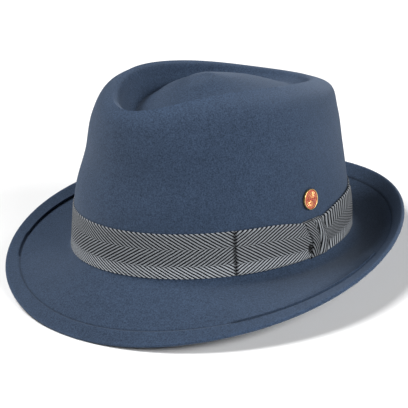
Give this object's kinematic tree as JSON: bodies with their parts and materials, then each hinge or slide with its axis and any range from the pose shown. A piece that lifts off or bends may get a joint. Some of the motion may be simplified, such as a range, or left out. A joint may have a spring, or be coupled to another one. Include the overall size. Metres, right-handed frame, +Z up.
{
  "type": "trilby",
  "caption": "Felt trilby with a teardrop crown dent, snapped front brim, turned-up back, herringbone ribbon band, flat side bow and a small round enamel badge.",
  "frame": {"origin": "centre of the bounding box at the bottom, on the surface the hat stands on", "axes": "+Z up, -Y towards the front of the brim, +X towards the wearer's left, where the bow and badge are"},
  "size_m": [0.2658, 0.2806, 0.1339],
  "materials": {
    "felt": "matt slate-blue wool felt with a fine fleck",
    "ribbon": "woven herringbone ribbon, pale grey and charcoal",
    "gilt": "gilded brass, softly polished",
    "enamel": "orange-red enamel, glossy"
  },
  "bodies": {
    "root": {"felt_body": "felt", "band": "ribbon", "bow": "ribbon", "bow_knot": "ribbon", "badge": "gilt", "badge_enamel": "enamel", "badge_clutch": "gilt"}
  },
  "joints": []
}
